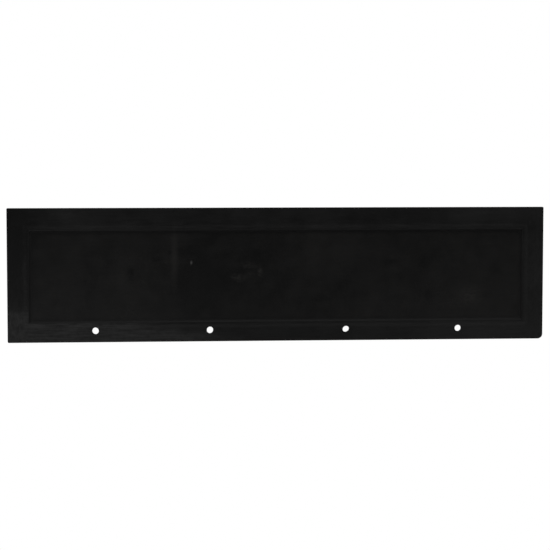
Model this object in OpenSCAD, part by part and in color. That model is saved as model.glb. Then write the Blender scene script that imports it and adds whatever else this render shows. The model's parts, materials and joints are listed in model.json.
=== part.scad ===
// Rubber snow flap for the top edge of an ATV plow blade.
// A press-moulded sheet of fabric-reinforced rubber: a front cover with a raised border round a
// recessed panel, two woven plies with a gum layer between them, and a plain back cover. The five
// layers are vulcanised face to face, sheared to one outline and punched with one row of holes.
// Frame: +X along the flap, +Z up, the front face looks along -Y. The origin is on the back face,
// midway along the row of holes.

/* [Sheet] */
// Width of the flap, along X
flap_w = 1200; // [1000:10:1800]
// Height of the flap, along Z
flap_h = 298; // [240:2:420]
// Radius of the two upper corners
upper_corner_r = 2; // [0.5:0.5:5]
// Radius of the lower left corner, seen from the front
lower_left_r = 3; // [0.5:0.5:5]
// Radius of the lower right corner, seen from the front
lower_right_r = 11; // [5:1:20]

/* [Raised border] */
// Flat width of the border at the two ends
border_end = 46; // [36:1:60]
// Flat width of the border along the top
border_top = 48; // [40:1:60]
// Flat width of the border along the bottom, round the bolt holes
border_bottom = 42.5; // [40:0.5:60]
// Width of the sloped step from the border down to the panel
step_run = 6; // [4:0.5:10]
// Depth of the panel below the border
step_depth = 3; // [1:0.5:4]

/* [Layers] */
// Thickness of the back cover
back_cover_t = 2; // [1.5:0.1:3]
// Thickness of each woven ply
ply_t = 0.9; // [0.6:0.1:1.5]
// Thickness of the gum between the plies
skim_t = 0.8; // [0.4:0.1:1.5]
// Thickness of the front cover at the panel
panel_cover_t = 1.9; // [1.2:0.1:3]

/* [Bolt holes] */
// Diameter of the punched holes
hole_d = 14.3; // [9:0.1:18]
// Height of the row of holes above the lower edge
hole_edge = 25.4; // [20:0.2:30]
// Distance between the two inner holes
inner_pitch = 304.8; // [203.2:25.4:406.4]
// Distance between the two outer holes
outer_pitch = 812.8; // [508:25.4:914.4]

/* [Hidden] */

// Each layer starts this far in front of the back face.
back_ply_at = back_cover_t;
skim_at = back_ply_at + ply_t;
front_ply_at = skim_at + skim_t;
front_cover_at = front_ply_at + ply_t;
panel_front = front_cover_at + panel_cover_t;
border_front = panel_front + step_depth;

left = -flap_w / 2;
right = flap_w / 2;
bottom = -hole_edge;
top = flap_h - hole_edge;

hole_x = [-outer_pitch / 2, -inner_pitch / 2, inner_pitch / 2, outer_pitch / 2];

// The recess, measured at the border's lip.
recess_w = flap_w - 2 * border_end;
recess_h = flap_h - border_top - border_bottom;
recess_mid_z = bottom + border_bottom + recess_h / 2;

arc_steps = 6; // facets in each of the step's two arcs
overcut = 1;
round_fn = 96;

// The step is two equal arcs that meet halfway, one rolling over the lip and one easing into the
// panel. Each turns through step_angle.
step_angle = 2 * atan(step_depth / step_run);
step_r = step_run / 2 / sin(step_angle);

// How far the step has come in from the lip, and how deep it is, as the first arc turns by a.
function lip_point(a) = [step_r * sin(a), step_r * (1 - cos(a))];
// The second arc is the first one turned end for end.
function foot_point(a) = [step_run, step_depth] - lip_point(step_angle - a);

function step_points() = concat(
    [for (i = [0 : arc_steps]) lip_point(step_angle * i / arc_steps)],
    [for (i = [1 : arc_steps]) foot_point(step_angle * i / arc_steps)]
);

// Cross-section of the recess, width across its lip. Depth runs along +Y, and the part below 0 is
// overcut in front of the lip.
module recess_section(width) {
    near = [for (p = step_points()) [width / 2 - p[0], p[1]]];
    far = [for (i = [len(near) - 1 : -1 : 0]) [-near[i][0], near[i][1]]];
    polygon(concat([[width / 2, -overcut]], near, far, [[-width / 2, -overcut]]));
}

// The recess as a tool: two crossing prisms, so that the step is mitred at its four corners.
module recess() {
    translate([0, -border_front, recess_mid_z])
        intersection() {
            translate([0, 0, -recess_h / 2])
                linear_extrude(recess_h)
                    recess_section(recess_w);
            rotate([0, 90, 0])
                translate([0, 0, -recess_w / 2])
                    linear_extrude(recess_w)
                        recess_section(recess_h);
        }
}

// What a corner at the origin loses when it is rounded, for a sheet that fills the first quadrant.
module corner_waste(r) {
    difference() {
        translate([-overcut, -overcut]) square(r + overcut);
        translate([r, r]) circle(r, $fn = round_fn);
    }
}

// The sheared outline, drawn in the plane of the sheet.
module outline() {
    difference() {
        translate([left, bottom]) square([flap_w, flap_h]);
        translate([left, bottom]) corner_waste(lower_left_r);
        translate([right, bottom]) mirror([1, 0]) corner_waste(lower_right_r);
        translate([left, top]) mirror([0, 1]) corner_waste(upper_corner_r);
        translate([right, top]) mirror([0, 1]) mirror([1, 0]) corner_waste(upper_corner_r);
    }
}

// The punch, through every layer.
module bolt_holes() {
    for (x = hole_x)
        translate([x, overcut, 0])
            rotate([90, 0, 0])
                cylinder(h = border_front + 2 * overcut, d = hole_d, $fn = round_fn);
}

// One flat layer with its holes, its back face at a distance from the sheet's back face.
module layer(from_back, thickness) {
    difference() {
        translate([0, -from_back, 0])
            rotate([90, 0, 0])
                linear_extrude(thickness)
                    outline();
        bolt_holes();
    }
}

module front_cover() {
    color([0.05, 0.05, 0.05])
        difference() {
            layer(front_cover_at, panel_cover_t + step_depth);
            recess();
        }
}

module front_ply() {
    color([0.3, 0.27, 0.23]) layer(front_ply_at, ply_t);
}

module skim_gum() {
    color([0.09, 0.09, 0.09]) layer(skim_at, skim_t);
}

module back_ply() {
    color([0.3, 0.27, 0.23]) layer(back_ply_at, ply_t);
}

module back_cover() {
    color([0.05, 0.05, 0.05]) layer(0, back_cover_t);
}

front_cover();
front_ply();
skim_gum();
back_ply();
back_cover();
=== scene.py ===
"""Looks of a rubber snow flap for an ATV plow blade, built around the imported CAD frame.

The flap is one sheared and punched sheet of five bonded layers. Each layer is a closed mesh here, made on a
grid that follows the border's step, the corners and the bolt holes. Its faces and its cut edges have node
materials of their own. Lengths are in metres, angles in degrees and lamps in watts. +X runs along the flap,
+Z up it, and its front looks along -Y.
"""

import json
import math
from types import SimpleNamespace

import bmesh
import bpy
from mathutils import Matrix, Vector, noise


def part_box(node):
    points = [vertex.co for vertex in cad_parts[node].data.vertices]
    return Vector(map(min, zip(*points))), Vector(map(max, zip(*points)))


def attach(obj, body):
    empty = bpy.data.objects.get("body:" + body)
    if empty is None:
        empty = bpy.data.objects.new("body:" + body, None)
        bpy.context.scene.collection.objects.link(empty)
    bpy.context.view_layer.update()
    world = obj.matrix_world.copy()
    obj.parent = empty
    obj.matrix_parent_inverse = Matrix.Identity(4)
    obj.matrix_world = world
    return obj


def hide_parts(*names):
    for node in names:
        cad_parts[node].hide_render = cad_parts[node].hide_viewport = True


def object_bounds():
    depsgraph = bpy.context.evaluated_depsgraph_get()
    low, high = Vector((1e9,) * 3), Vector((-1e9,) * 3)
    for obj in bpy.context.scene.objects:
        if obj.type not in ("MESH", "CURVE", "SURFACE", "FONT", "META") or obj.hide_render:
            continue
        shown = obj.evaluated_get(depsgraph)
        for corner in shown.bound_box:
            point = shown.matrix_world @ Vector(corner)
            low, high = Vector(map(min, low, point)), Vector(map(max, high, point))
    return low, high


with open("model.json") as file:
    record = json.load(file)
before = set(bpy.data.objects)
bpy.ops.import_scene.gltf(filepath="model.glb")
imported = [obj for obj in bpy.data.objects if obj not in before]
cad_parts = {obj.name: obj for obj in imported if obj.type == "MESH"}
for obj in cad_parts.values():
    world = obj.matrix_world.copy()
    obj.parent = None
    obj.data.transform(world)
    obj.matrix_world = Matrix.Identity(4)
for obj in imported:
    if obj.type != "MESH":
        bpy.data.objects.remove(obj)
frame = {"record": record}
cad_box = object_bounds()

MM = 0.001

# Face of the flap, as in the CAD
BORDER_END = 46 * MM
BORDER_TOP = 48 * MM
BORDER_BOTTOM = 42.5 * MM
STEP_RUN = 6 * MM
STEP_DEPTH = 3 * MM
UPPER_CORNER_R = 2 * MM
LOWER_LEFT_R = 3 * MM
LOWER_RIGHT_R = 11 * MM

# Softer shapes that only the looks have
LIP_CORNER_R = 3 * MM  # plan radius of the recess at its four corners
BEAD_RISE = 0.3 * MM  # a low bead on the border follows the recess's lip
BEAD_OUT = 6.5 * MM  # its crest is this far out from the lip
BEAD_HALF = 7 * MM
EDGE_TUCK = 0.8 * MM  # a face's flat ends this far in from the sheared edge, where its rounding begins
EDGE_ROUND = 0.8 * MM  # rounding of the front and back edges of the whole sheet
SEAM_ROUND = 0.12 * MM  # rounding where two layers meet on a cut edge
HOLE_ROUND = 0.6 * MM  # the punch rolls the front edge of a hole over by this much
HOLE_DISH = 0.35 * MM  # how far it also draws the face in round the hole
HOLE_DISH_REACH = 2.5 * MM
HOLE_TAPER = 0.2 * MM  # the holes open out by this much towards the back
SHEAR_DISH = 0.25 * MM  # a sheared edge is hollow by this much half way through the sheet
PLY_SINK = 0.15 * MM  # the plies spring back behind the rubber on a cut edge

# The sheet's waviness: height, waves to a metre along X and along Z, and a seed
SWELL = (0.5 * MM, 2.2, 2.6, 3.7)
RIPPLE = (0.08 * MM, 13, 15, 8.1)

# No two punched holes are alike: size, share by which it is stretched, and the direction of the stretch
HOLE_SHAPES = [
    (1.02, 0.035, 100),
    (1.015, 0.03, 85),
    (0.97, 0.06, 25),
    (1.0, 0.01, 0),
]

# Grid
FACE_CELL = 5 * MM  # widest cell of a layer whose face shows
INNER_CELL = 12 * MM  # widest cell of a layer that shows only at its edges
PATCH = 15 * MM  # half the side of the square that is left for the rings round a hole
PATCH_CELLS = 16
HOLE_RINGS = 6
RING_CROWDING = 1.6  # above 1, the rings crowd towards the hole
EDGE_LINES = 5
BEAD_LINES = 8
STEP_LINES = 12
FOOT_LINE = 0.8 * MM  # one more line this far in from the foot of the step
ARC_STEPS = 3
WALL_CELL = 0.8 * MM
SAME_LINE = 0.05 * MM  # lines closer than this are one line
COUNT_SLACK = 0.01  # keeps a rounding error from adding a line

# Camera: a long lens, a little to the left of the flap's middle and above it
SENSOR_WIDTH = 36  # in mm, as the lens is
LENS = 119.1
CAMERA_AZIMUTH = -4.65
CAMERA_ELEVATION = 4.02
CAMERA_DISTANCE = 4.064
AIM_OFFSET = Vector((-6.7 * MM, 0, -1.8 * MM))
CLIP_END = 60

# Studio
SKY_LIGHT = 0.05
FLOOR_GREY = 0.3
FLOOR_ROUGHNESS = 0.9
FLOOR_BELOW = 0.3  # the flap hangs this far above the floor
FLOOR_HALF = 30
LAMP_ABOVE_FLOOR = 0.01

# Lamps aimed at the flap: name, azimuth, elevation, distance, width, height, power
SOFTBOXES = [
    ("overhead", 0, 78, 2.4, 2.6, 1.0, 18),
    ("right_side", 98, 12, 2.6, 1.2, 1.2, 14),
    ("left_side", -98, 12, 2.6, 1.2, 1.2, 14),
    ("back_fill", 205, 35, 3.0, 2.0, 1.4, 24),
]

# Lamps that lie on the floor: name, x, y, size along X, size along Y, power
FLOOR_LAMPS = [
    ("front_left_glow", -0.95, -0.72, 1.6, 0.8, 2.2),
    ("front_right_glow", 0.95, -0.72, 1.6, 0.8, 1.5),
    ("back_left_glow", 1.2, 1.2, 2.2, 1.2, 7),
    ("back_right_glow", -1.2, 1.2, 2.2, 1.2, 7),
]

low, high = cad_box
middle = (low + high) / 2
back_at = high.y
front_at = low.y

mounts = {mount["name"]: mount["dims"] for mount in frame["record"]["mounts"]}
hole_r = mounts["outer_bolts"]["hole_r_mm"] * MM
outer_half = mounts["outer_bolts"]["spacing_x_mm"] * MM / 2
inner_half = mounts["inner_bolts"]["spacing_x_mm"] * MM / 2
holes = [-outer_half, -inner_half, inner_half, outer_half]

recess_half_w = (high.x - low.x) / 2 - BORDER_END
recess_half_h = (high.z - low.z - BORDER_TOP - BORDER_BOTTOM) / 2
recess_mid_z = low.z + BORDER_BOTTOM + recess_half_h
step_r = (STEP_RUN**2 + STEP_DEPTH**2) / (4 * STEP_DEPTH)


# ---------------------------------------------------------------- shapes


def inward(x, z):
    """Distance in from the recess's lip, negative on the border."""
    over_x = abs(x - middle.x) - recess_half_w + LIP_CORNER_R
    over_z = abs(z - recess_mid_z) - recess_half_h + LIP_CORNER_R
    outside = math.hypot(max(over_x, 0), max(over_z, 0))
    return LIP_CORNER_R - outside - min(max(over_x, over_z), 0)


def step_drop(distance):
    """Depth below the border at a distance in from the lip: two equal arcs that meet half way."""
    distance = min(max(distance, 0), STEP_RUN)
    if distance > STEP_RUN / 2:
        return STEP_DEPTH - step_drop(STEP_RUN - distance)
    return step_r - math.sqrt(step_r**2 - distance**2)


def bead_rise(distance):
    """How far the bead stands out at a distance in from the lip."""
    share = max(0, 1 - abs(distance + BEAD_OUT) / BEAD_HALF)
    return BEAD_RISE * share**2 * (3 - 2 * share)


def wave(x, z):
    """How far the whole sheet is out of flat: long swells and shorter ripples."""
    total = 0
    for height, per_x, per_z, seed in (SWELL, RIPPLE):
        total += height * noise.noise(Vector((per_x * x, per_z * z, seed)))
    return total


def hole_dish(x, z):
    """How far the face is drawn in beside the nearest hole."""
    gap = min(math.hypot(x - hole_x, z) for hole_x in holes) - hole_r
    return HOLE_DISH * math.exp(-max(gap, 0) / HOLE_DISH_REACH)


def shear_dish(y):
    """How hollow a sheared edge is at a depth through the sheet."""
    half = (back_at - front_at) / 2
    return SHEAR_DISH * (1 - ((y - middle.y) / half) ** 2)


def flat_face(node, side):
    """A node's front (0) or back (1) face, as a function that follows the sheet's waves."""
    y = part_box(node)[side].y
    return lambda x, z: y + wave(x, z)


def pressed_face(x, z):
    """The front of the front cover, with the bead, the step and the panel."""
    distance = inward(x, z)
    return front_at + wave(x, z) + step_drop(distance) - bead_rise(distance) + hole_dish(x, z)


# ---------------------------------------------------------------- grid


def edge_marks(start, end):
    """Lines that crowd towards the two ends of a span, for the rounded corners.

    They take up a band as wide as the one between the lower edge and the squares round the holes.
    """
    band = -PATCH - (low.z + EDGE_TUCK)
    offsets = [band * (i / EDGE_LINES) ** 2 for i in range(EDGE_LINES + 1)]
    return [start + offset for offset in offsets] + [end - offset for offset in offsets]


def step_marks(centre, half):
    """Lines across the bead and the step on both sides of the recess."""
    bead = [-(BEAD_OUT + BEAD_HALF) * i / BEAD_LINES for i in range(1, BEAD_LINES + 1)]
    step = [STEP_RUN * i / STEP_LINES for i in range(STEP_LINES + 1)]
    offsets = [*bead, *step, STEP_RUN + FOOT_LINE]
    return [centre + side * (half - offset) for side in (-1, 1) for offset in offsets]


def patch_marks(centre):
    """Lines through the square round a hole."""
    return [centre + PATCH * (2 * i / PATCH_CELLS - 1) for i in range(PATCH_CELLS + 1)]


def grid_lines(marks, cell):
    """Grid lines through every mark, with more between them so that no gap is wider than a cell."""
    marks = sorted(marks)
    lines = []
    for start, end in zip(marks, marks[1:]):
        count = max(1, math.ceil((end - start) / cell - COUNT_SLACK))
        lines += [start + (end - start) * i / count for i in range(count)]
    lines.append(marks[-1])
    kept = [lines[0]]
    for line in lines[1:]:
        if line - kept[-1] > SAME_LINE:
            kept.append(line)
    return kept


def line_at(lines, value):
    """Number of the line nearest a value."""
    return min(range(len(lines)), key=lambda i: abs(lines[i] - value))


def plan_lines(cell, with_step):
    """The grid lines of a layer: their places along X, and their places along Z."""
    x_marks = edge_marks(low.x + EDGE_TUCK, high.x - EDGE_TUCK)
    z_marks = edge_marks(low.z + EDGE_TUCK, high.z - EDGE_TUCK)
    if with_step:
        x_marks += step_marks(middle.x, recess_half_w)
        z_marks += step_marks(recess_mid_z, recess_half_h)
    for hole_x in holes:
        x_marks += patch_marks(hole_x)
    z_marks += patch_marks(0)
    return grid_lines(x_marks, cell), grid_lines(z_marks, cell)


def rectangle_loop(left, right, below, above):
    """Grid places round a rectangle, anticlockwise from its lower left corner."""
    bottom_side = [(i, below) for i in range(left, right)]
    right_side = [(right, j) for j in range(below, above)]
    top_side = [(i, above) for i in range(right, left, -1)]
    left_side = [(left, j) for j in range(above, below, -1)]
    return bottom_side + right_side + top_side + left_side


def round_corner(x, z):
    """Moves a grid point so that the grid's square corners follow the rounded ones.

    Returns the new point and the direction out of the corner, or None for the direction elsewhere.
    """
    right, upper = x > middle.x, z > middle.z
    lower_r = LOWER_RIGHT_R if right else LOWER_LEFT_R
    radius = (UPPER_CORNER_R if upper else lower_r) - EDGE_TUCK
    side_x = 1 if right else -1
    side_z = 1 if upper else -1
    centre_x = (high.x if right else low.x) - side_x * (EDGE_TUCK + radius)
    centre_z = (high.z if upper else low.z) - side_z * (EDGE_TUCK + radius)
    across = side_x * (x - centre_x)
    along = side_z * (z - centre_z)
    if across <= 0 or along <= 0:
        return x, z, None
    length = math.hypot(across, along)
    reach = max(across, along)
    out = (side_x * across / length, side_z * along / length)
    return centre_x + reach * out[0], centre_z + reach * out[1], out


class Plan:
    """The plan of a layer: points in the plane of the flap, quads between them, and loops at the rims.

    A loop is a list of (point number, direction out of the material there). Quads and loops run
    anticlockwise as seen from the front.
    """

    def __init__(self, cell, with_step):
        self.x_lines, self.z_lines = plan_lines(cell, with_step)
        self.last_column = len(self.x_lines) - 1
        self.last_row = len(self.z_lines) - 1
        self.patch_rows = (line_at(self.z_lines, -PATCH), line_at(self.z_lines, PATCH))
        self.patch_columns = []
        for hole_x in holes:
            sides = (line_at(self.x_lines, hole_x - PATCH), line_at(self.x_lines, hole_x + PATCH))
            self.patch_columns.append(sides)
        self.points = []
        self.quads = []
        self.number = {}
        self.out_of = {}
        self.fill_grid()
        rim = rectangle_loop(0, self.last_column, 0, self.last_row)
        self.edge_loop = [(self.grid_point(*place), self.out_of[place]) for place in rim]
        self.hole_loops = []
        for hole_x, columns, shape in zip(holes, self.patch_columns, HOLE_SHAPES):
            self.hole_loops.append(self.ring_hole(hole_x, columns, shape))

    def fill_grid(self):
        """Makes the grid's quads, except in the squares round the holes."""
        below, above = self.patch_rows
        for i in range(self.last_column):
            over_hole = any(left <= i < right for left, right in self.patch_columns)
            for j in range(self.last_row):
                if over_hole and below <= j < above:
                    continue
                corners = [(i, j), (i + 1, j), (i + 1, j + 1), (i, j + 1)]
                self.quads.append([self.grid_point(*corner) for corner in corners])

    def grid_point(self, i, j):
        """Number of the point where two grid lines cross."""
        if (i, j) not in self.number:
            x, z, out = round_corner(self.x_lines[i], self.z_lines[j])
            if out is None:
                out_x = (i == self.last_column) - (i == 0)
                out_z = (j == self.last_row) - (j == 0)
                out = (out_x, 0 if out_x else out_z)
            self.number[i, j] = len(self.points)
            self.out_of[i, j] = out
            self.points.append((x, z))
        return self.number[i, j]

    def ring_hole(self, hole_x, columns, shape):
        """Fills the square round a hole with rings of quads, and returns the loop at the hole's rim."""
        size, stretch, lean = shape
        ring = [self.grid_point(*place) for place in rectangle_loop(*columns, *self.patch_rows)]
        square = [self.points[k] for k in ring]
        angles = [math.atan2(z, x - hole_x) for x, z in square]
        for step in range(1, HOLE_RINGS + 1):
            share = 1 - (1 - step / HOLE_RINGS) ** RING_CROWDING
            new_ring = []
            for (x, z), angle in zip(square, angles):
                out_of_round = 1 + stretch * math.cos(2 * (angle - math.radians(lean)))
                radius = hole_r * size * out_of_round + EDGE_TUCK
                rim_x = hole_x + radius * math.cos(angle)
                rim_z = radius * math.sin(angle)
                new_ring.append(len(self.points))
                self.points.append((x + share * (rim_x - x), z + share * (rim_z - z)))
            for k in range(len(ring)):
                after = (k + 1) % len(ring)
                self.quads.append([ring[k], ring[after], new_ring[after], new_ring[k]])
            ring = new_ring
        return [(k, (-math.cos(angle), -math.sin(angle))) for k, angle in zip(ring, angles)]


# ---------------------------------------------------------------- layers


def rim_profile(front, back, front_round, back_round, sink):
    """A cut edge as (outward, y) pairs, from the front face of a layer round to its back face."""
    turns = [math.radians(90 * i / ARC_STEPS) for i in range(ARC_STEPS + 1)]
    points = [(front_round * (math.sin(a) - 1), front + front_round * (1 - math.cos(a))) for a in turns]
    wall_start, wall_end = front + front_round, back - back_round
    count = max(1, round((wall_end - wall_start) / WALL_CELL))
    points += [(0, wall_start + (wall_end - wall_start) * i / count) for i in range(1, count)]
    for a in reversed(turns):
        points.append((back_round * (math.sin(a) - 1), back - back_round * (1 - math.cos(a))))
    return [(outward - sink, y) for outward, y in points]


def sheared(profile):
    """A profile made hollow, as the shear leaves it."""
    return [(outward - shear_dish(y), y) for outward, y in profile]


def punched(profile):
    """A profile that leans, as the punch leaves it."""
    thickness = back_at - front_at
    return [(outward - HOLE_TAPER * (y - front_at) / thickness, y) for outward, y in profile]


def add_wall(vertices, faces, loop, back_start, profile, front, back):
    """Joins the two faces of a layer round one loop, along a profile of (outward, y) pairs.

    The point of the back face behind vertex k is vertex k + back_start.
    """
    front_ring = [k for k, _ in loop]
    back_ring = [k + back_start for k in front_ring]
    rings = [front_ring]
    for outward, y in profile:
        reach = outward + EDGE_TUCK
        if reach < SAME_LINE:
            continue  # the face's own loop is already there
        share = (y - front) / (back - front)
        ring = []
        for (_, out), front_index, back_index in zip(loop, front_ring, back_ring):
            x, front_y, z = vertices[front_index]
            shift = (1 - share) * (front_y - front) + share * (vertices[back_index][1] - back)
            ring.append(len(vertices))
            vertices.append((x + reach * out[0], y + shift, z + reach * out[1]))
        rings.append(ring)
    rings.append(back_ring)
    for near, far in zip(rings, rings[1:]):
        for k in range(len(near)):
            after = (k + 1) % len(near)
            faces.append([near[k], far[k], far[after], near[after]])


def closed_mesh(name, vertices, faces):
    """A smooth mesh with every face turned outwards."""
    mesh = bpy.data.meshes.new(name)
    mesh.from_pydata(vertices, [], faces)
    edit = bmesh.new()
    edit.from_mesh(mesh)
    bmesh.ops.recalc_face_normals(edit, faces=edit.faces)
    edit.to_mesh(mesh)
    edit.free()
    mesh.polygons.foreach_set("use_smooth", [True] * len(mesh.polygons))
    return mesh


def make_layer(name, node, plan, face, cut, front_y=None, front_round=SEAM_ROUND,
               back_round=SEAM_ROUND, sink=0):
    """One bonded layer as a closed mesh that stands for its CAD node.

    face is the material of its two faces, and cut of what was sheared or punched. front_y gives y at a place
    on its front, where that isn't flat.
    """
    front, back = (corner.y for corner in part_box(node))
    front_y = front_y or flat_face(node, 0)
    back_y = flat_face(node, 1)
    back_start = len(plan.points)
    vertices = [(x, front_y(x, z), z) for x, z in plan.points]
    vertices += [(x, back_y(x, z), z) for x, z in plan.points]
    faces = [list(quad) for quad in plan.quads]
    faces += [[k + back_start for k in reversed(quad)] for quad in plan.quads]
    flat_faces = len(faces)

    edge = rim_profile(front, back, front_round, back_round, sink)
    rim = rim_profile(front, back, min(front_round, HOLE_ROUND), min(back_round, HOLE_ROUND), sink)
    add_wall(vertices, faces, plan.edge_loop, back_start, sheared(edge), front, back)
    for loop in plan.hole_loops:
        add_wall(vertices, faces, loop, back_start, punched(rim), front, back)

    mesh = closed_mesh(name, vertices, faces)
    mesh.materials.append(face)
    if cut is not face:
        mesh.materials.append(cut)
        is_cut = [int(index >= flat_faces) for index in range(len(faces))]
        mesh.polygons.foreach_set("material_index", is_cut)
    piece = bpy.data.objects.new(name, mesh)
    bpy.context.scene.collection.objects.link(piece)
    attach(piece, "root")
    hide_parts(node)


# ---------------------------------------------------------------- materials


class Shader:
    """One material, built node by node. A socket or a plain value can go into any input."""

    def __init__(self, name):
        self.material = bpy.data.materials.new(name)
        self.material.use_nodes = True
        self.tree = self.material.node_tree
        self.surface = self.tree.nodes["Principled BSDF"]
        self.place = self.node("ShaderNodeTexCoord").outputs["Object"]
        self.x, _, self.z = self.node("ShaderNodeSeparateXYZ", {"Vector": self.place}).outputs

    def node(self, kind, inputs=None, **settings):
        """A new node, with what goes into its inputs and how it is set."""
        made = self.tree.nodes.new(kind)
        for key, value in settings.items():
            setattr(made, key, value)
        for key, value in (inputs or {}).items():
            self.feed(made.inputs[key], value)
        return made

    def feed(self, socket, value):
        """Links a socket to an input, or sets the input to a plain value."""
        if isinstance(value, bpy.types.NodeSocket):
            self.tree.links.new(value, socket)
        else:
            socket.default_value = value

    def maths(self, operation, *values):
        """What one math node makes of the values."""
        return self.node("ShaderNodeMath", dict(enumerate(values)), operation=operation).outputs[0]

    def add(self, *values):
        total = values[0]
        for value in values[1:]:
            total = self.maths("ADD", total, value)
        return total

    def minus(self, value, taken):
        return self.maths("SUBTRACT", value, taken)

    def times(self, *values):
        product = values[0]
        for value in values[1:]:
            product = self.maths("MULTIPLY", product, value)
        return product

    def lowest(self, first, second):
        return self.maths("MINIMUM", first, second)

    def highest(self, first, second):
        return self.maths("MAXIMUM", first, second)

    def off(self, value, centre):
        """Distance from a centre."""
        return self.maths("ABSOLUTE", self.minus(value, centre))

    def swing(self, pattern, amount):
        """A pattern from 0 to 1 turned into one about 0, this much from end to end."""
        return self.times(self.minus(pattern, 0.5), amount)

    def between(self, value, start, end):
        """Rises smoothly from 0 at start to 1 at end, or falls if end is the lower."""
        inputs = {"Value": value, "From Min": start, "From Max": end}
        return self.node("ShaderNodeMapRange", inputs, interpolation_type="SMOOTHSTEP").outputs[0]

    def band(self, value, centre, half):
        """1 at the centre, falling smoothly to 0 at half a width either side."""
        return self.between(self.off(value, centre), half, 0)

    def moved(self, place, shift):
        """A place moved by a shift along each axis."""
        return self.node("ShaderNodeVectorMath", {0: place, 1: shift}, operation="ADD").outputs[0]

    def stretched(self, x, y, z):
        """The place scaled along each axis: the higher, the finer a pattern is along it."""
        inputs = {0: self.place, 1: (x, y, z)}
        return self.node("ShaderNodeVectorMath", inputs, operation="MULTIPLY").outputs[0]

    def turned(self, across, up, lean):
        """Distances along a direction that leans by some degrees, and at right angles to it."""
        turn = math.radians(lean)
        along = self.add(self.times(across, math.cos(turn)), self.times(up, math.sin(turn)))
        aside = self.add(self.times(up, math.cos(turn)), self.times(across, -math.sin(turn)))
        return along, aside

    def noise(self, scale, detail=3, roughness=0.5, at=None, shift=0):
        """Noise from 0 to 1, most of it near a half, with features about 1 / scale metres across.

        A shift picks another part of the pattern.
        """
        where = self.moved(at if at is not None else self.place, (shift, shift, shift))
        inputs = {"Vector": where, "Scale": scale, "Detail": detail, "Roughness": roughness}
        return self.node("ShaderNodeTexNoise", inputs).outputs["Fac"]

    def scratches(self, lean, shift):
        """1 along a few hair-fine scratches, 0 between them."""
        along, aside = self.turned(self.x, self.z, lean)
        fine_along, fine_aside = SCRATCH_SCALE
        inputs = {"X": self.times(along, fine_along), "Y": self.times(aside, fine_aside)}
        place = self.node("ShaderNodeCombineXYZ", inputs).outputs[0]
        return self.between(self.noise(scale=1, detail=1, at=place, shift=shift), *SCRATCH_ONSET)

    def dots(self, pitch, radius, shift):
        """1 in the middle of scattered dots of up to a radius, falling smoothly to 0 at their outlines."""
        where = self.moved(self.place, (shift, shift, shift))
        inputs = {"Vector": where, "Scale": 1 / pitch}
        gap = self.node("ShaderNodeTexVoronoi", inputs).outputs["Distance"]
        return self.between(gap, radius / pitch, DOT_CORE * radius / pitch)

    def oval(self, x, z, half_w, half_h, lean=0):
        """1 in the middle of an oval on the face, falling smoothly to 0 at its outline."""
        along, aside = self.turned(self.minus(self.x, x), self.minus(self.z, z), lean)
        along = self.times(along, 1 / half_w)
        aside = self.times(aside, 1 / half_h)
        reach = self.maths("SQRT", self.add(self.times(along, along), self.times(aside, aside)))
        return self.between(reach, 1, 0)

    def mix(self, share, first, second):
        """A colour from first, where the share is 0, to second, where it is 1."""
        made = self.node("ShaderNodeMix", data_type="RGBA")
        for name, value in (("Factor", share), ("A", first), ("B", second)):
            kind = "VALUE" if name == "Factor" else "RGBA"
            socket = next(i for i in made.inputs if i.name == name and i.type == kind)
            self.feed(socket, value)
        return next(o for o in made.outputs if o.type == "RGBA")

    def bump(self, height, depth, normal=None):
        """The normal of a surface with relief, whose height 1 stands out from its height 0 by the depth."""
        inputs = {"Height": height, "Distance": depth, "Strength": 1.0}
        if normal is not None:
            inputs["Normal"] = normal
        return self.node("ShaderNodeBump", inputs).outputs["Normal"]

    def finish(self, colour, roughness, normal, gloss):
        """The finished material."""
        self.feed(self.surface.inputs["Base Color"], colour)
        self.feed(self.surface.inputs["Roughness"], roughness)
        self.feed(self.surface.inputs["Normal"], normal)
        self.feed(self.surface.inputs["Specular IOR Level"], gloss)
        return self.material


def grey(value, warmth=0.0):
    """A grey in linear light. A warmth above 0 leans it towards red."""
    return (value * (1 + warmth), value, value * (1 - warmth), 1)


BLACK_RUBBER = grey(0.005)
CUT_RUBBER = grey(0.014)
CUT_GUM = grey(0.026, 0.08)
# FILM and WARM_FILM are also the grey of the painted light and sheen on the front face
FILM = grey(0.085)
WARM_FILM = grey(0.085, 0.07)
CHALK = grey(0.15)
CORD = grey(0.11, 0.20)
CORD_DIP = grey(0.018)

RUBBER_GLOSS = 0.5
CORD_GLOSS = 0.15

# The film is a share of grey over the black; on the front it also carries painted light and shade. Each
# value is what one thing adds to that share. Clouds, blotches, streaks and mottle swing it by this much from
# end to end.
PLAIN_FILM = 0.078
FRONT_CLOUD_FILM = 0.26
FRONT_BLOTCH_FILM = 0.12
BACK_CLOUD_FILM = 0.36
BACK_BLOTCH_FILM = 0.16
PRINT_FILM = 0.02
PANEL_STREAK_FILM = 0.02
BORDER_STREAK_FILM = 0.04  # on top of the panel's
BEAD_FILM = 0.04
BEAD_STREAK_FILM = 0.09
# Painted shade: the face is made darker in the crease at the foot of the step
STEP_FOOT_PAINTED_SHADE = -0.10
# Painted light: the lower wall of the step and the lower part of the bead face up and are made lighter, as
# light from above falls on them
LOWER_STEP_PAINTED_LIGHT = 0.22
LOWER_BEAD_PAINTED_LIGHT = 0.04
# Painted sheen at the lower left of the border: its base share, and how much streaks and mottle swing it
SHEEN_BASE = 0.13
SHEEN_STREAKS = 0.36
SHEEN_MOTTLE = 0.6
SCRATCH_FILM = 0.14
TALC_FILM = 0.35

# Dust on a cut edge: how much there is, and the share that lies evenly under its clouds and tear lines
COVER_DUST = 0.16
GUM_DUST = 0.18
EVEN_DUST = 0.4

# Share of the cord's own colour in a cord end, and what its fray adds
CORD_TINT = 0.45
FRAY_TINT = 0.7

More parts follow.
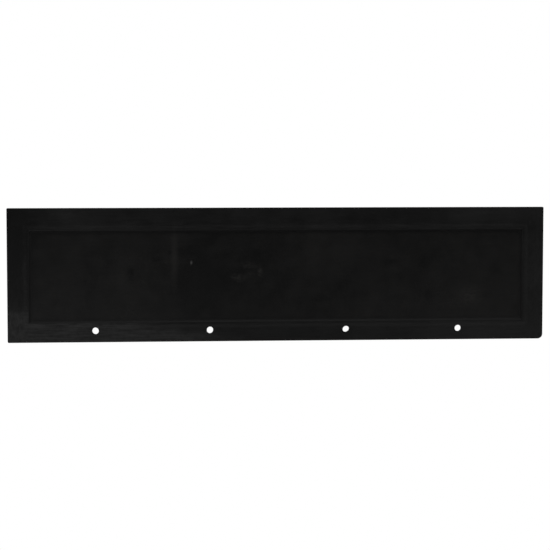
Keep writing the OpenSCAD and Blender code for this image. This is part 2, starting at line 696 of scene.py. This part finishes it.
# Roughness, and what some things add to it
FRONT_ROUGHNESS = 0.36
BACK_ROUGHNESS = 0.42
CUT_ROUGHNESS = 0.62
CORD_ROUGHNESS = 0.75
BLOTCH_ROUGHNESS = 0.16
FILM_ROUGHNESS = 0.5
STEP_ROUGHNESS = 0.42
CRUMB_ROUGHNESS = 0.2
FRAY_ROUGHNESS = 0.15

# Fine relief
PEEL_DEPTH = 0.15 * MM
GRAIN_DEPTH = 0.07 * MM
PINHOLE_DEPTH = 0.3 * MM
SCRATCH_DEPTH = 0.08 * MM
PRINT_DEPTH = 0.05 * MM
TEAR_DEPTH = 0.2 * MM
CRUMB_DEPTH = 0.08 * MM
CORD_DEPTH = 0.2 * MM
FRAY_DEPTH = 0.05 * MM

# Small marks
TALC_PITCH = 5 * MM
TALC_R = 0.5 * MM
PINHOLE_PITCH = 9 * MM
PINHOLE_R = 0.6 * MM
DOT_CORE = 0.4  # the share of a dot's radius that is full strength
CLOTH_PITCH = 1.6 * MM
CORD_PITCH = 1.25 * MM
CORD_SCATTER = 0.25
CORD_EDGE = (0.46, 0.28)  # a cord fades in between these shares of its cell's size from the middle

# Scales of the streaky patterns along X, Y and Z: the higher, the finer
BORDER_STREAKS = (16, 1, 230)
END_STREAKS = (120, 1, 60)
SCUFF_STROKES = (90, 1, 210)
TEAR_LINES = (700, 60, 700)
SCRATCH_SCALE = (9, 700)  # along a scratch and across it

# Values of the noise between which marks come in
STREAK_ONSET = (0.36, 0.66)
STROKE_ONSET = (0.34, 0.62)
RUBBED_ONSET = (0.42, 0.62)
SCRATCH_ONSET = (0.70, 0.76)
TEAR_ONSET = (0.5, 0.7)

# Zones of the front face: each rises from 0 to 1 between two distances in from the recess's lip
BORDER_ZONE = (2 * MM, -1 * MM)
OFF_PANEL_ZONE = (STEP_RUN + 2 * MM, STEP_RUN - 1 * MM)
END_ZONE = (8 * MM, -24 * MM)  # counted at the recess's two ends only
OFF_RIM_ZONE = (0.5 * MM, 3.5 * MM)  # counted from the sheared edge
# Bands of it: the middle and half the width
BEAD_BAND = (-BEAD_OUT, BEAD_HALF)
STEP_BAND = (STEP_RUN / 2 + 1 * MM, STEP_RUN / 2 + 2 * MM)
STEP_FOOT_BAND = (STEP_RUN / 2 + 2 * MM, STEP_RUN / 2 + 5 * MM)

# A painted sheen, as a lamp's reflection would lie, covers the border at the lower left, below a line that
# slants down to the right
SHEEN_SLOPE = 0.17
SHEEN_LEVEL_TO = -0.48  # the line is level from the left end to this x
SHEEN_HEIGHT = -0.040  # the line's height where it would cross x = 0
SHEEN_FADE = 14 * MM  # it fades in over this much above and below the line
SHEEN_RIGHT_END = (-0.17, -0.09)  # it fades out between these two x

# Soft patches where the face is made lighter or darker: x, z, half width, half height, share of grey added.
# The darker patch at the top left is painted shade, and the lighter ones low on the left of the border add
# to the painted sheen there; the rest follow tone that differs from place to place
TONE_PATCHES = [
    (-0.60, 0.25, 0.13, 0.24, -0.11),
    (-0.44, 0.26, 0.14, 0.05, 0.06),
    (-0.43, 0.07, 0.13, 0.11, -0.03),
    (-0.24, 0.07, 0.16, 0.09, -0.04),
    (0.16, 0.07, 0.30, 0.09, -0.035),
    (-0.36, 0.215, 0.22, 0.03, 0.05),
    (-0.11, 0.14, 0.20, 0.13, -0.07),
    (0.14, 0.19, 0.18, 0.09, 0.06),
    (0.25, 0.25, 0.22, 0.03, -0.03),
    (0.29, 0.11, 0.08, 0.09, -0.02),
    (0.60, 0.10, 0.07, 0.25, 0.08),
    (0.47, 0.265, 0.20, 0.05, 0.13),
    (-0.10, 0.262, 0.50, 0.03, 0.03),
    (0.46, -0.005, 0.28, 0.05, 0.10),
    (0.46, 0.06, 0.08, 0.04, 0.03),
    (-0.231, 0.165, 0.012, 0.10, 0.17),
    (-0.18, 0.11, 0.07, 0.13, -0.06),
    (-0.498, 0.006, 0.03, 0.022, -0.12),
    (-0.38, 0.013, 0.05, 0.010, -0.07),
    (-0.27, -0.011, 0.17, 0.011, 0.09),
    (-0.17, -0.013, 0.05, 0.012, 0.12),
]

# Where the panel has been rubbed: x, z, half length, half height, lean, film added
SCUFFS = [
    (-0.090, 0.117, 0.023, 0.014, -6, 0.40),
    (-0.040, 0.128, 0.009, 0.014, 0, 0.42),
    (-0.064, 0.124, 0.018, 0.012, 0, 0.18),
    (-0.066, 0.143, 0.042, 0.014, -3, 0.20),
    (0.435, 0.074, 0.040, 0.032, 30, 0.20),
    (0.098, 0.067, 0.028, 0.008, 3, -0.22),
    (0.250, 0.150, 0.030, 0.009, 5, -0.18),
    (0.337, 0.075, 0.010, 0.018, 0, -0.16),
    (-0.328, 0.122, 0.012, 0.030, 10, -0.14),
    (-0.268, 0.159, 0.020, 0.007, 6, -0.25),
    (-0.242, 0.173, 0.013, 0.006, 8, -0.20),
]

# A dab of chalk on the panel: x, z, half width, half height
CHALK_DAB = (-0.1935, 0.1505, 0.0040, 0.0065)


def front_zones(shader):
    """Masks of the front face, each 1 inside its zone and 0 outside it."""
    # Distances in from the recess's ends and from its whole lip, and in from the sheared edges
    off_x = shader.off(shader.x, middle.x)
    beside = shader.minus(recess_half_w, off_x)
    inside = shader.lowest(beside, shader.minus(recess_half_h, shader.off(shader.z, recess_mid_z)))
    to_end = shader.minus((high.x - low.x) / 2, off_x)
    to_side = shader.lowest(shader.minus(high.z, shader.z), shader.minus(shader.z, low.z))
    low_half = shader.between(shader.z, recess_mid_z, low.z + BORDER_BOTTOM + 2 * STEP_RUN)
    return SimpleNamespace(
        border=shader.between(inside, *BORDER_ZONE),
        off_panel=shader.between(inside, *OFF_PANEL_ZONE),
        ends=shader.between(beside, *END_ZONE),
        off_rim=shader.between(shader.lowest(to_end, to_side), *OFF_RIM_ZONE),
        bead=shader.band(inside, *BEAD_BAND),
        step=shader.band(inside, *STEP_BAND),
        step_foot=shader.band(inside, *STEP_FOOT_BAND),
        # the lower side of the recess, where painted light goes on the step and the bead
        lower_side=shader.times(low_half, shader.between(beside, STEP_RUN / 2, STEP_RUN)),
    )


def wiped_streaks(shader, zones):
    """Streaks from 0 to 1 where a cloth wiped the face, along X, and more broken up near the two ends."""
    along_x = shader.noise(scale=1, detail=4, roughness=0.65, at=shader.stretched(*BORDER_STREAKS))
    along_z = shader.noise(scale=1, detail=4, roughness=0.65, at=shader.stretched(*END_STREAKS), shift=3)
    streaks = shader.add(
        shader.times(along_x, shader.minus(1, zones.ends)),
        shader.times(along_z, zones.ends),
    )
    return shader.between(streaks, *STREAK_ONSET)


def lower_left_painted_sheen(shader, zones, wiped):
    """The painted sheen added at the lower left of the border, with streaks and mottle in it."""
    slope = shader.times(shader.highest(shader.x, SHEEN_LEVEL_TO), SHEEN_SLOPE)
    above_line = shader.add(shader.z, slope, -SHEEN_HEIGHT)
    right_end = shader.between(shader.x, SHEEN_RIGHT_END[1], SHEEN_RIGHT_END[0])
    sheen_mask = shader.times(shader.between(above_line, SHEEN_FADE, -SHEEN_FADE), right_end, zones.border)
    mottle = shader.noise(scale=100, detail=3, roughness=0.6, shift=13)
    added = shader.add(
        SHEEN_BASE,
        shader.times(wiped, SHEEN_STREAKS),
        shader.swing(mottle, SHEEN_MOTTLE),
    )
    return shader.times(sheen_mask, added)


def patch_tone(shader):
    """The share of grey added or taken off in the soft patches, painted shade and sheen among them."""
    total = 0
    for x, z, half_w, half_h, added in TONE_PATCHES:
        total = shader.add(total, shader.times(shader.oval(x, z, half_w, half_h), added))
    return total


def scuff_film(shader):
    """The film added or rubbed off at the scuffs, broken up into strokes."""
    strokes = shader.noise(scale=1, detail=4, roughness=0.7, at=shader.stretched(*SCUFF_STROKES), shift=17)
    scuffed = shader.between(strokes, *STROKE_ONSET)
    total = 0
    for x, z, half_l, half_h, lean, added in SCUFFS:
        mark = shader.times(shader.oval(x, z, half_l, half_h, lean), scuffed)
        total = shader.add(total, shader.times(mark, added))
    return total


def pressed_relief(shader, under=None):
    """Normal of pressed rubber: a soft peel, a fine grain over it, and a pinhole here and there."""
    peel = shader.noise(scale=140, detail=2, shift=4)
    grain = shader.noise(scale=900, detail=3, roughness=0.6, shift=2)
    solid = shader.minus(1, shader.dots(PINHOLE_PITCH, PINHOLE_R, shift=1))
    normal = shader.bump(peel, PEEL_DEPTH, under)
    normal = shader.bump(grain, GRAIN_DEPTH, normal)
    return shader.bump(solid, PINHOLE_DEPTH, normal)


def moulded_front():
    """The pressed front face: near-black rubber under a thin grey film, wiped along the border, with painted
    shade at the foot of the step, painted light on its lower side and a painted sheen at the lower left.
    """
    shader = Shader("moulded_front_rubber")
    zones = front_zones(shader)
    cloud = shader.noise(scale=8, detail=4, roughness=0.6)
    blotch = shader.noise(scale=30, detail=3, shift=5)
    wiped = wiped_streaks(shader, zones)
    scratch = shader.highest(shader.scratches(8, shift=6), shader.scratches(-37, shift=8))
    scratch = shader.times(scratch, shader.between(cloud, *RUBBED_ONSET))
    talc = shader.dots(TALC_PITCH, TALC_R, shift=9)

    streak_film = shader.add(PANEL_STREAK_FILM, shader.times(zones.border, BORDER_STREAK_FILM))
    bead_film = shader.add(BEAD_FILM, shader.times(wiped, BEAD_STREAK_FILM))
    # painted light on the lower step wall and the lower bead
    lower_painted_light = shader.add(
        shader.times(zones.step, LOWER_STEP_PAINTED_LIGHT),
        shader.times(zones.bead, LOWER_BEAD_PAINTED_LIGHT),
    )
    film = shader.add(
        PLAIN_FILM,
        shader.swing(cloud, FRONT_CLOUD_FILM),
        shader.swing(blotch, FRONT_BLOTCH_FILM),
        shader.swing(wiped, streak_film),
        patch_tone(shader),
        # painted sheen at the lower left of the border
        lower_left_painted_sheen(shader, zones, wiped),
        shader.times(zones.bead, bead_film),
        # painted shade at the foot of the step
        shader.times(zones.step_foot, STEP_FOOT_PAINTED_SHADE),
        shader.times(zones.lower_side, lower_painted_light),
        scuff_film(shader),
        shader.times(scratch, SCRATCH_FILM),
        shader.times(talc, TALC_FILM),
    )
    film = shader.times(shader.highest(film, 0), zones.off_rim)

    colour = shader.mix(film, BLACK_RUBBER, shader.mix(zones.off_panel, WARM_FILM, FILM))
    colour = shader.mix(shader.oval(*CHALK_DAB), colour, CHALK)
    roughness = shader.add(
        FRONT_ROUGHNESS,
        shader.times(blotch, BLOTCH_ROUGHNESS),
        shader.times(film, FILM_ROUGHNESS),
        shader.times(zones.step, STEP_ROUGHNESS),
    )
    scored = shader.bump(shader.minus(1, scratch), SCRATCH_DEPTH)
    return shader.finish(colour, roughness, pressed_relief(shader, scored), RUBBER_GLOSS)


def moulded_back():
    """The back face: the same rubber with the print of the press cloth in it."""
    shader = Shader("moulded_back_rubber")
    warp = shader.maths("SINE", shader.times(shader.x, 2 * math.pi / CLOTH_PITCH))
    weft = shader.maths("SINE", shader.times(shader.z, 2 * math.pi / CLOTH_PITCH))
    cloth = shader.times(warp, weft)
    cloud = shader.noise(scale=7, detail=4, roughness=0.6, shift=3)
    blotch = shader.noise(scale=30, detail=3, shift=7)
    talc = shader.dots(TALC_PITCH, TALC_R, shift=4)
    scratch = shader.times(shader.scratches(-12, shift=2), shader.between(cloud, *RUBBED_ONSET))
    film = shader.add(
        PLAIN_FILM,
        shader.swing(cloud, BACK_CLOUD_FILM),
        shader.swing(blotch, BACK_BLOTCH_FILM),
        shader.times(cloth, PRINT_FILM),
        shader.times(scratch, SCRATCH_FILM),
        shader.times(talc, TALC_FILM),
    )
    film = shader.highest(film, 0)
    colour = shader.mix(film, BLACK_RUBBER, FILM)
    roughness = shader.add(
        BACK_ROUGHNESS,
        shader.times(blotch, BLOTCH_ROUGHNESS),
        shader.times(film, FILM_ROUGHNESS),
    )
    printed = shader.bump(cloth, PRINT_DEPTH)
    return shader.finish(colour, roughness, pressed_relief(shader, printed), RUBBER_GLOSS)


def cut_rubber(name, rubber, dust):
    """Sheared or punched rubber: dull, with fine tear lines through the thickness and some dust."""
    shader = Shader(name)
    tears = shader.noise(scale=1, detail=3, roughness=0.6, at=shader.stretched(*TEAR_LINES))
    crumbs = shader.noise(scale=700, detail=2, shift=6)
    cloud = shader.noise(scale=20, detail=3, shift=1)
    film = shader.times(dust, shader.add(EVEN_DUST, cloud, shader.between(tears, *TEAR_ONSET)))
    colour = shader.mix(film, rubber, FILM)
    roughness = shader.add(CUT_ROUGHNESS, shader.times(crumbs, CRUMB_ROUGHNESS))
    normal = shader.bump(crumbs, CRUMB_DEPTH, shader.bump(tears, TEAR_DEPTH))
    return shader.finish(colour, roughness, normal, RUBBER_GLOSS)


def cord_cells(shader):
    """Distance from the nearest cord end, in cells of one cord each.

    The rows lie in the middle of the two plies, and on the cut edges all round.
    """
    half_across = (high.x - low.x) / 2 - PLY_SINK
    upward = high.z - low.z - 2 * PLY_SINK
    front_row = sum(corner.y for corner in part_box("front_ply")) / 2
    back_row = sum(corner.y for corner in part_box("back_ply")) / 2
    per_metre = (
        round(half_across / CORD_PITCH) / half_across,
        1 / (back_row - front_row),
        round(upward / CORD_PITCH) / upward,
    )
    start = (middle.x, back_row, low.z + PLY_SINK)
    shift = [CORD_SCATTER / 2 - place * per for place, per in zip(start, per_metre)]
    where = shader.moved(shader.stretched(*per_metre), shift)
    inputs = {"Vector": where, "Scale": 1, "Randomness": CORD_SCATTER}
    return shader.node("ShaderNodeTexVoronoi", inputs).outputs["Distance"]


def cord_ply():
    """A dipped nylon ply seen end on: cut cord ends in a row, tan in dark dip."""
    shader = Shader("cut_nylon_cords")
    cord = shader.between(cord_cells(shader), *CORD_EDGE)
    fray = shader.noise(scale=2500, detail=2)
    share = shader.times(cord, shader.add(CORD_TINT, shader.times(fray, FRAY_TINT)))
    colour = shader.mix(share, CORD_DIP, CORD)
    roughness = shader.add(CORD_ROUGHNESS, shader.times(fray, FRAY_ROUGHNESS))
    normal = shader.bump(cord, CORD_DEPTH, shader.bump(fray, FRAY_DEPTH))
    return shader.finish(colour, roughness, normal, CORD_GLOSS)


# ---------------------------------------------------------------- the sheet


def make_sheet():
    """The five layers, from the front to the back."""
    stepped_plan = Plan(FACE_CELL, with_step=True)
    plain_plan = Plan(FACE_CELL, with_step=False)
    coarse_plan = Plan(INNER_CELL, with_step=False)
    cut = cut_rubber("cut_cover_rubber", CUT_RUBBER, COVER_DUST)
    gum = cut_rubber("cut_gum_rubber", CUT_GUM, GUM_DUST)
    cords = cord_ply()
    make_layer("front_cover_skin", "front_cover", stepped_plan, moulded_front(), cut,
               front_y=pressed_face, front_round=EDGE_ROUND)
    make_layer("front_ply_cords", "front_ply", coarse_plan, cords, cords, sink=PLY_SINK)
    make_layer("skim_gum_sheet", "skim_gum", coarse_plan, gum, gum)
    make_layer("back_ply_cords", "back_ply", coarse_plan, cords, cords, sink=PLY_SINK)
    make_layer("back_cover_skin", "back_cover", plain_plan, moulded_back(), cut,
               back_round=EDGE_ROUND)


# ---------------------------------------------------------------- studio


def toward(azimuth, elevation):
    """The unit vector towards a place seen at an azimuth and an elevation. Azimuth 0 is the flap's front."""
    a, e = math.radians(azimuth), math.radians(elevation)
    return Vector((math.sin(a) * math.cos(e), -math.cos(a) * math.cos(e), math.sin(e)))


def aim(piece, direction):
    """Turns a camera or a lamp so that it looks along a direction."""
    piece.rotation_mode = "QUATERNION"
    piece.rotation_quaternion = direction.to_track_quat("-Z", "Y")


def place_camera():
    """The scene's camera, at the photograph's viewing angle."""
    camera = bpy.data.objects.new("camera", bpy.data.cameras.new("camera"))
    bpy.context.scene.collection.objects.link(camera)
    camera.data.sensor_width = SENSOR_WIDTH
    camera.data.lens = LENS
    camera.data.clip_end = CLIP_END
    back = toward(CAMERA_AZIMUTH, CAMERA_ELEVATION)
    camera.location = middle + AIM_OFFSET + CAMERA_DISTANCE * back
    aim(camera, -back)
    bpy.context.scene.camera = camera


def area_lamp(name, place, width, height, power):
    """A rectangular lamp that shines straight down until it is turned."""
    light = bpy.data.lights.new(name, "AREA")
    light.shape = "RECTANGLE"
    light.size = width
    light.size_y = height
    light.energy = power
    lamp = bpy.data.objects.new(name, light)
    bpy.context.scene.collection.objects.link(lamp)
    lamp.location = place
    lamp.visible_camera = False
    return lamp


def softbox(name, azimuth, elevation, distance, width, height, power):
    """A lamp aimed at the middle of the flap."""
    back = toward(azimuth, elevation)
    lamp = area_lamp(name, middle + distance * back, width, height, power)
    aim(lamp, -back)


def floor_lamp(name, x, y, width, height, power):
    """A lamp that lies on the floor and shines up. From above, the flap mirrors it as a soft sheen."""
    lamp = area_lamp(name, (x, y, low.z - FLOOR_BELOW + LAMP_ABOVE_FLOOR), width, height, power)
    lamp.rotation_euler = (math.pi, 0, 0)


def shown_and_lighting(tree, shown, lighting):
    """A surface or sky that looks one way and lights the flap another, as a separately lit backdrop does."""
    camera_ray = tree.nodes.new("ShaderNodeLightPath").outputs["Is Camera Ray"]
    blend = tree.nodes.new("ShaderNodeMixShader")
    tree.links.new(camera_ray, blend.inputs[0])
    tree.links.new(lighting, blend.inputs[1])
    tree.links.new(shown, blend.inputs[2])
    return blend.outputs[0]


def make_sky():
    """A sky that looks white and lights the flap only faintly."""
    world = bpy.data.worlds.new("studio")
    bpy.context.scene.world = world
    world.use_nodes = True
    tree = world.node_tree
    shown = tree.nodes["Background"]
    lighting = tree.nodes.new("ShaderNodeBackground")
    for background, strength in ((shown, 1.0), (lighting, SKY_LIGHT)):
        background.inputs["Color"].default_value = (1, 1, 1, 1)
        background.inputs["Strength"].default_value = strength
    surface = shown_and_lighting(tree, shown.outputs[0], lighting.outputs[0])
    tree.links.new(surface, tree.nodes["World Output"].inputs["Surface"])


def make_floor():
    """A wide floor that looks white and lights the flap as a grey one."""
    half = FLOOR_HALF
    z = low.z - FLOOR_BELOW
    mesh = bpy.data.meshes.new("floor")
    corners = [(-half, -half, z), (half, -half, z), (half, half, z), (-half, half, z)]
    mesh.from_pydata(corners, [], [(0, 1, 2, 3)])
    floor = bpy.data.objects.new("floor", mesh)
    bpy.context.scene.collection.objects.link(floor)
    material = bpy.data.materials.new("pale_floor")
    material.use_nodes = True
    tree = material.node_tree
    paint = tree.nodes["Principled BSDF"]
    paint.inputs["Base Color"].default_value = grey(FLOOR_GREY)
    paint.inputs["Roughness"].default_value = FLOOR_ROUGHNESS
    glow = tree.nodes.new("ShaderNodeEmission")
    glow.inputs["Strength"].default_value = 1.0
    surface = shown_and_lighting(tree, glow.outputs[0], paint.outputs[0])
    tree.links.new(surface, tree.nodes["Material Output"].inputs["Surface"])
    mesh.materials.append(material)


bpy.context.scene.view_settings.view_transform = "Standard"
place_camera()
make_sheet()
make_sky()
make_floor()
for settings in SOFTBOXES:
    softbox(*settings)
for settings in FLOOR_LAMPS:
    floor_lamp(*settings)
